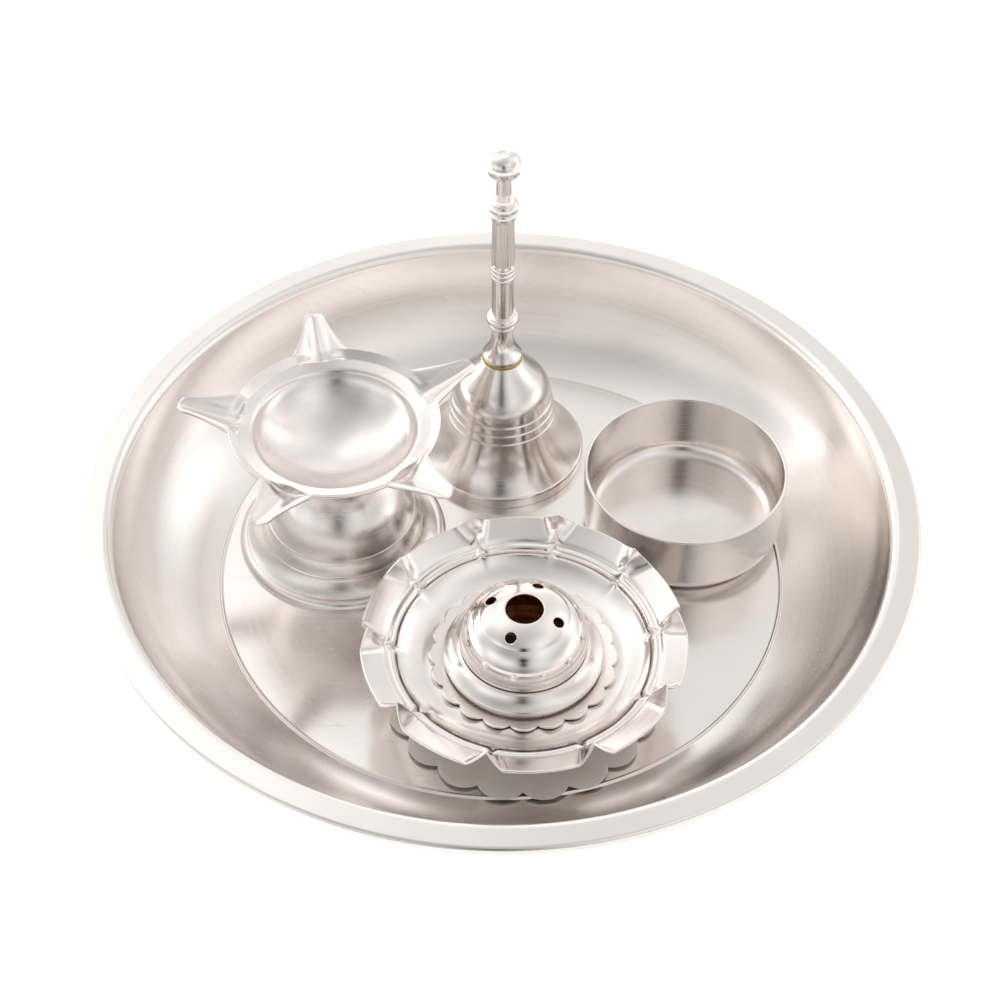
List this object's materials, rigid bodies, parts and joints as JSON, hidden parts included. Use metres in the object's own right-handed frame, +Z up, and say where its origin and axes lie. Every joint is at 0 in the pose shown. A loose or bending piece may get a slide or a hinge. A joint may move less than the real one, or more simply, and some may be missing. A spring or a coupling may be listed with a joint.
{
  "type": "puja thali",
  "caption": "Round spun tray with a spouted oil lamp, a hand bell with a turned handle, a straight cup and a domed incense stand on a crimped dish.",
  "frame": {"origin": "middle of the tray's underside, on the table", "axes": "+Z up, -Y towards the front, where the incense stand is, +X towards the cup"},
  "size_m": [0.254, 0.254, 0.1224],
  "materials": {
    "satin_silver": "silver plate on spun sheet, satin with fine rings",
    "bright_silver": "silver plate, bright",
    "brass_ring": "bright brass",
    "steel": "zinc-plated steel, hidden fasteners and clapper"
  },
  "bodies": {
    "tray": {"thali_plate": "satin_silver"},
    "lamp": {"lamp_foot": "satin_silver", "lamp_bowl": "satin_silver", "lamp_stud": "steel", "lamp_washer": "steel", "lamp_nut": "steel"},
    "bell": {"bell_body": "bright_silver", "bell_ring": "brass_ring", "bell_handle": "bright_silver", "bell_washer": "steel", "bell_eye_nut": "steel"},
    "link": {"clapper_link": "steel"},
    "clapper": {"clapper_rod": "steel", "clapper_ball": "steel"},
    "cup": {"cup_body": "satin_silver"},
    "stand": {"stand_base": "bright_silver", "stand_pedestal": "bright_silver", "stand_tray": "bright_silver", "stand_disc": "bright_silver", "stand_seat": "bright_silver", "stand_dome": "bright_silver", "stand_screw": "steel", "stand_washer": "steel", "stand_nut": "steel"}
  },
  "joints": [
    {"name": "lamp_lift", "type": "slide", "parent": "tray", "child": "lamp", "axis": [0, 0, 1], "range_m": [0, 0.12]},
    {"name": "bell_lift", "type": "slide", "parent": "tray", "child": "bell", "axis": [0.16, 0.25, 0.9549], "range_m": [0, 0.12]},
    {"name": "clapper_link_swing", "type": "hinge", "parent": "bell", "child": "link", "pos_m": [-0.0002, 0.052, 0.03428], "axis": [1, 0, 0], "range_deg": [-24, 24]},
    {"name": "clapper_swing", "type": "hinge", "parent": "link", "child": "clapper", "pos_m": [-0.0002, 0.052, 0.02958], "axis": [0, 1, 0], "range_deg": [-24, 24]},
    {"name": "cup_lift", "type": "slide", "parent": "tray", "child": "cup", "axis": [0, 0, 1], "range_m": [0, 0.12]},
    {"name": "stand_lift", "type": "slide", "parent": "tray", "child": "stand", "axis": [0.303, -0.417, 0.8569], "range_m": [0, 0.12]}
  ]
}
